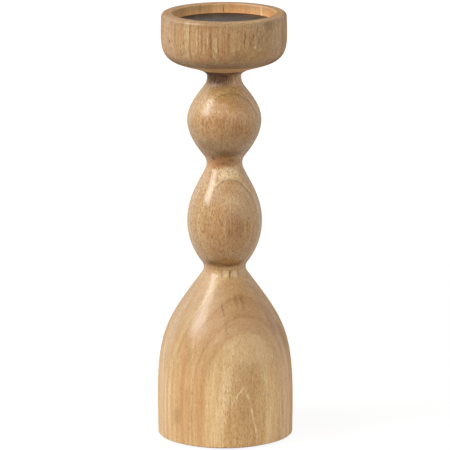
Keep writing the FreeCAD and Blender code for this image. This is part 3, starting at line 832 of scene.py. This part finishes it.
class HOLDER_OT_stem(Operator):
    """Turns the stem: two beads, the necks at their ends, the flare under the cup and a tenon at each end."""

    bl_idname = "holder.stem"
    bl_label = "Bead stem"

    def execute(self, context):
        stem, turning = context.scene.holder_stem, context.scene.holder_turning
        lower_bead_z = LOWER_SEAM + stem.lower_bead_rise
        waist_z = lower_bead_z + stem.waist_rise
        upper_bead_z = waist_z + stem.upper_bead_rise
        neck_z = upper_bead_z + stem.upper_neck_rise
        low_pilot_r = stem.base_screw_r - stem.thread_bite
        low_pilot_z = BASE_SCREW_TIP + stem.pilot_spare
        high_pilot_r = stem.cup_screw_r - stem.thread_bite
        high_pilot_z = CUP_SCREW_TIP - stem.pilot_spare
        ease = math.degrees(math.asin(stem.seam_ease / stem.lower_hollow))
        lower = (stem.lower_neck_r, LOWER_SEAM, stem.lower_hollow)
        waist = [(stem.waist_r, waist_z, radius * MILLIMETRE) for radius in stem.waist_hollows]
        upper = [(stem.upper_neck_r, neck_z, radius * MILLIMETRE) for radius in stem.upper_hollows]
        waist_low, waist_high = -stem.waist_leans[0], stem.waist_leans[1]
        upper_low, upper_high = -stem.upper_leans[0], stem.upper_leans[1]
        lip_r = stem.collar_r - stem.seam_ease
        lip_z = UPPER_SEAM - stem.seam_ease / math.tan(math.radians(stem.collar_lean))

        outline = Outline(0.0, low_pilot_z, turning.step)
        outline.lines((low_pilot_r, low_pilot_z), (low_pilot_r, STEM_LOW.z))
        outline.line(stem.lower_tenon_r - stem.tenon_edge, STEM_LOW.z)
        outline.line(stem.lower_tenon_r, STEM_LOW.z + stem.tenon_edge)
        outline.lines((stem.lower_tenon_r, LOWER_SEAM), (stem.lower_neck_r - stem.seam_ease, LOWER_SEAM))
        outline.sanded = 1.0
        outline.line(*hollow_end(*lower, ease))
        outline.hollow(*lower, ease, stem.lower_leans[1])
        outline.flank(stem.lower_leans[1], stem.lower_bead_r, lower_bead_z, 0, stem.lower_bead_low)
        outline.flank(0, *hollow_end(*waist[0], waist_low), waist_low, stem.lower_bead_top)
        outline.hollow(*waist[0], waist_low, 0)
        outline.hollow(*waist[1], 0, waist_high)
        outline.flank(waist_high, stem.upper_bead_r, upper_bead_z, 0, stem.upper_bead_low)
        outline.flank(0, *hollow_end(*upper[0], upper_low), upper_low, stem.upper_bead_top)
        outline.hollow(*upper[0], upper_low, 0)
        outline.hollow(*upper[1], 0, upper_high)
        outline.flank(upper_high, lip_r, lip_z, stem.collar_lean, stem.collar_shares)
        outline.sanded = 0.0
        outline.lines((lip_r, UPPER_SEAM), (stem.upper_tenon_r, UPPER_SEAM))
        outline.line(stem.upper_tenon_r, STEM_HIGH.z - stem.tenon_edge)
        outline.line(stem.upper_tenon_r - stem.tenon_edge, STEM_HIGH.z)
        outline.lines((high_pilot_r, STEM_HIGH.z), (high_pilot_r, high_pilot_z), (0.0, high_pilot_z))
        angles = even_angles(turning.around)
        piece = turned("turned_stem", outline, angles, turning.waver, drawn=partial(figure, "stem"))
        dress(piece, "satin_mango_wood", "stand", "wood", "bead_stem")
        return {"FINISHED"}


class HOLDER_OT_cup(Operator):
    """Turns the cup: underside, wall, rim, recess and the bores for the screw, with a drying check in the recess."""

    bl_idname = "holder.cup"
    bl_label = "Candle cup"

    def execute(self, context):
        cup, stem, turning = context.scene.holder_cup, context.scene.holder_stem, context.scene.holder_turning
        recess_grain_and_light = context.scene.holder_finishes.recess_grain_and_light
        rim_r = cup.widest_r - cup.rim_draw
        drop = math.radians(-cup.rim_lean)
        edge, inner_edge = cup.rim_edge_r, cup.rim_inner_r
        seat_r = PLATE_HIGH.x + cup.seat_gap
        seat_top = PLATE_HIGH.z + cup.seat_h
        bore_r = CUP_WASHER_HIGH.x + cup.bore_gap
        hole_r = stem.cup_screw_r + stem.screw_gap
        bore_z, mortise_z = CUP_WASHER_LOW.z, CUP_WASHER_LOW.z - cup.web
        outline = Outline(cup.mortise_r, UPPER_SEAM, turning.step)
        outline.line(cup.joint_r, UPPER_SEAM)
        outline.sanded = 1.0
        outline.flank(cup.lean, cup.widest_r, RIM - cup.rim_h, 0, cup.underside)
        outline.flank(0, rim_r, RIM - edge + edge * math.sin(drop), cup.rim_lean, cup.wall)
        outline.rounding(rim_r - edge * math.cos(drop), RIM - edge, edge, -cup.rim_lean, 90, 10)
        outline.line(cup.recess_r + inner_edge, RIM, 8)
        outline.sanded = 0.0
        outline.rounding(cup.recess_r + inner_edge, RIM - inner_edge, inner_edge, 90, 180)
        outline.lines((cup.recess_r, seat_top, 16), (seat_r, seat_top), (seat_r, PLATE_LOW.z, 2))
        outline.lines((bore_r, PLATE_LOW.z, 10), (bore_r, bore_z, 4), (hole_r, bore_z), (hole_r, mortise_z))
        outline.lines((cup.mortise_r, mortise_z), (cup.mortise_r, UPPER_SEAM))
        back, hair = math.radians(90.0), 1e-6

        def check(r, z, a):
            """A drying check at the back of the recess. Its depth falls from its wavering middle line to nothing at
            its sides, and it narrows and grows shallow towards its lower end."""
            low = RIM - turning.crack_h
            along = np.clip((z - low) / turning.crack_h, 0.0, 1.0)
            middle = back + 0.006 * np.sin(900.0 * z) + 0.004 * np.sin(2300.0 * z)
            off = np.abs(a - middle) * r
            half = 0.5 * turning.crack_w * np.sqrt(along) + hair
            wall = (r < cup.recess_r + 0.9 * inner_edge) & (r > cup.recess_r - hair) & (z > low)
            return r + wall * turning.crack_d * along * np.clip(1.0 - off / half, 0.0, 1.0), z

        def drawn(r, z, a):
            """The recess has strokes of its own."""
            inside = (r < cup.recess_r + 0.5 * inner_edge)[..., None]
            return np.where(inside, figure("recess", r, z, a, recess_grain_and_light), figure("cup", r, z, a))

        near = back + np.radians(np.linspace(-0.9, 0.9, 25))
        angles = np.unique(np.round(np.concatenate([even_angles(turning.around), near]), 9))
        piece = turned("turned_cup", outline, angles, turning.waver, check, drawn)
        dress(piece, "satin_mango_wood", "stand", "wood", "candle_cup")
        return {"FINISHED"}


class HOLDER_OT_plate(Operator):
    """Lays the loose steel disc in the recess, with its edge eased."""

    bl_idname = "holder.plate"
    bl_label = "Steel plate"

    def execute(self, context):
        turning = context.scene.holder_turning
        outline = disc(
            PLATE_HIGH.x, PLATE_LOW.z, PLATE_HIGH.z, turning.plate_edge_r, turning.step, under=12, side=1, over=24
        )
        piece = turned("steel_plate", outline, even_angles(turning.around // 2))
        dress(piece, "black_powder_coat", "plate", "plate_steel", "candle_plate")
        return {"FINISHED"}


class HOLDER_OT_felt(Operator):
    """Glues the felt disc under the foot, with a soft cut edge and an uneven pile."""

    bl_idname = "holder.felt"
    bl_label = "Felt disc"

    def execute(self, context):
        bell, turning = context.scene.holder_bell, context.scene.holder_turning
        edge = bell.felt_edge
        outline = disc(FELT_HIGH.x, FELT_LOW.z, FELT_HIGH.z, edge, turning.step, under=44, side=2, over=12)

        def pile(r, z, a):
            """Quick crossing waves lower the pile on the edge and on the underside, never beyond the cut size."""
            wave = np.sin(31 * a + 2600 * r) * np.sin(47 * a - 1900 * r) + np.sin(83 * a + 5200 * z)
            uneven = bell.felt_pile * (0.5 - wave / 4.0)
            edgewise = (r > FELT_HIGH.x - 2 * edge) * uneven
            below = (z < FELT_LOW.z + 0.5 * edge) * uneven * 0.5
            return r - edgewise, z + below

        piece = turned("felt_disc", outline, even_angles(turning.around), shape=pile)
        dress(piece, "pressed_felt", "stand", "felt", "felt_pad")
        return {"FINISHED"}


class HOLDER_OT_screws(Operator):
    """Gives the screws and washers of the frame their zinc."""

    bl_idname = "holder.screws"
    bl_label = "Screws and washers"

    def execute(self, context):
        for name in ("cup_screw", "cup_screw_washer", "base_screw", "base_screw_washer"):
            paint(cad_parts[name], "bright_zinc")
        return {"FINISHED"}


# Lamps: name, degrees round from the front, degrees up, distance, width and height in metres, setting, and colour.
# They all face one point on the axis.
AIM_HEIGHT = 0.55 * RIM
LAMPS = (
    ("key_window", -68, 36, 1.4, 0.58, 0.84, "key", (0.985, 1.0, 1.0)),
    ("side_window", -104, 32, 1.8, 0.5, 0.6, "side", (0.985, 1.0, 1.0)),
    ("upper_window", -34, 42, 2.2, 2.2, 1.4, "upper", (1.0, 0.99, 0.97)),
    ("front_window", 36, 19, 2.2, 3.7, 1.6, "fill", (1.0, 0.96, 0.88)),
    ("right_window", 90, 14, 2.0, 2.2, 1.5, "edge", (1.0, 0.96, 0.88)),
    ("back_window", -122, 10, 2.0, 0.9, 0.9, "edge", (1.0, 1.0, 1.0)),
    ("rear_window", 168, 50, 2.4, 2.0, 1.0, "rear", (1.0, 1.0, 1.0)),
)


def window_light(name, azimuth, elevation, distance, width, tall, brightness, tint):
    """A rectangular lamp that faces the holder. Its power is brightness times pi times its area."""
    turn, rise = math.radians(azimuth), math.radians(elevation)
    away = Vector((math.sin(turn) * math.cos(rise), -math.cos(turn) * math.cos(rise), math.sin(rise)))
    lamp = bpy.data.lights.new(name, "AREA")
    lamp.shape = "RECTANGLE"
    lamp.size, lamp.size_y = width, tall
    lamp.energy = brightness * math.pi * width * tall
    lamp.color = tint
    holder = bpy.data.objects.new(name, lamp)
    holder.location = Vector((0, 0, AIM_HEIGHT)) + away * distance
    holder.rotation_euler = (-away).to_track_quat("-Z", "Y").to_euler()
    bpy.context.scene.collection.objects.link(holder)


class HOLDER_OT_stage(Operator):
    """Sets up the pale floor, the soft studio light and the camera."""

    bl_idname = "holder.stage"
    bl_label = "Floor, light and camera"

    def execute(self, context):
        scene, stage = context.scene, context.scene.holder_stage
        reach, drop = 12.0, 0.0002
        corners = np.array([[-1, -1], [1, -1], [1, 1], [-1, 1]]) * reach
        corners = np.column_stack([corners, np.full(4, -drop)])
        floor = mesh_from("floor", corners, np.array([[0, 1, 2, 3]]), np.zeros((0, 3), int))
        paint(floor, "pale_floor")

        world = bpy.data.worlds.new("white_room")
        world.use_nodes = True
        scene.world = world
        n = Nodes(world.node_tree)
        strength = n.plus(n.times(n.seen(), 1.0 - stage.world), stage.world)
        room = n.add("Background", {"Color": (1.0, 1.0, 1.0, 1.0), "Strength": strength})
        n.add("OutputWorld", {"Surface": room.outputs[0]})

        for *place, setting, tint in LAMPS:
            window_light(*place, getattr(stage, setting), tint)

        lens = bpy.data.cameras.new("camera")
        lens.lens, lens.sensor_width = stage.lens, 36.0
        lens.clip_start, lens.clip_end = 0.1, 60.0
        camera = bpy.data.objects.new("camera", lens)
        tilt = Matrix.Rotation(math.radians(90 - stage.pitch), 4, "X")
        roll = Matrix.Rotation(math.radians(stage.roll), 4, "Z")
        camera.matrix_world = Matrix.Translation((stage.aside, -stage.distance, stage.height)) @ tilt @ roll
        scene.collection.objects.link(camera)
        scene.camera = camera
        scene.view_settings.view_transform = "Standard"
        return {"FINISHED"}


class HOLDER_PT_sidebar(Panel):
    """Lists the sizes, colours and pieces in the sidebar."""

    bl_idname = "HOLDER_PT_sidebar"
    bl_label = "Turned candle holder"
    bl_space_type = "VIEW_3D"
    bl_region_type = "UI"
    bl_category = "Candle Holder"

    def draw(self, context):
        for operator in OPERATORS:
            self.layout.operator(operator.bl_idname)
        for name, group in GROUPS.items():
            box = self.layout.box()
            box.label(text=group.__doc__)
            for field in group.__annotations__:
                box.prop(getattr(context.scene, name), field)


OPERATORS = (
    HOLDER_OT_bell,
    HOLDER_OT_stem,
    HOLDER_OT_cup,
    HOLDER_OT_plate,
    HOLDER_OT_felt,
    HOLDER_OT_screws,
    HOLDER_OT_stage,
)


def register():
    for kind in (*GROUPS.values(), *OPERATORS, HOLDER_PT_sidebar):
        bpy.utils.register_class(kind)
    for name, group in GROUPS.items():
        setattr(bpy.types.Scene, name, PointerProperty(type=group))


def unregister():
    for name in GROUPS:
        delattr(bpy.types.Scene, name)
    for kind in reversed((*GROUPS.values(), *OPERATORS, HOLDER_PT_sidebar)):
        bpy.utils.unregister_class(kind)


def main():
    register()
    bpy.ops.holder.bell()
    bpy.ops.holder.stem()
    bpy.ops.holder.cup()
    bpy.ops.holder.plate()
    bpy.ops.holder.felt()
    bpy.ops.holder.screws()
    bpy.ops.holder.stage()


if __name__ == "__main__":
    main()
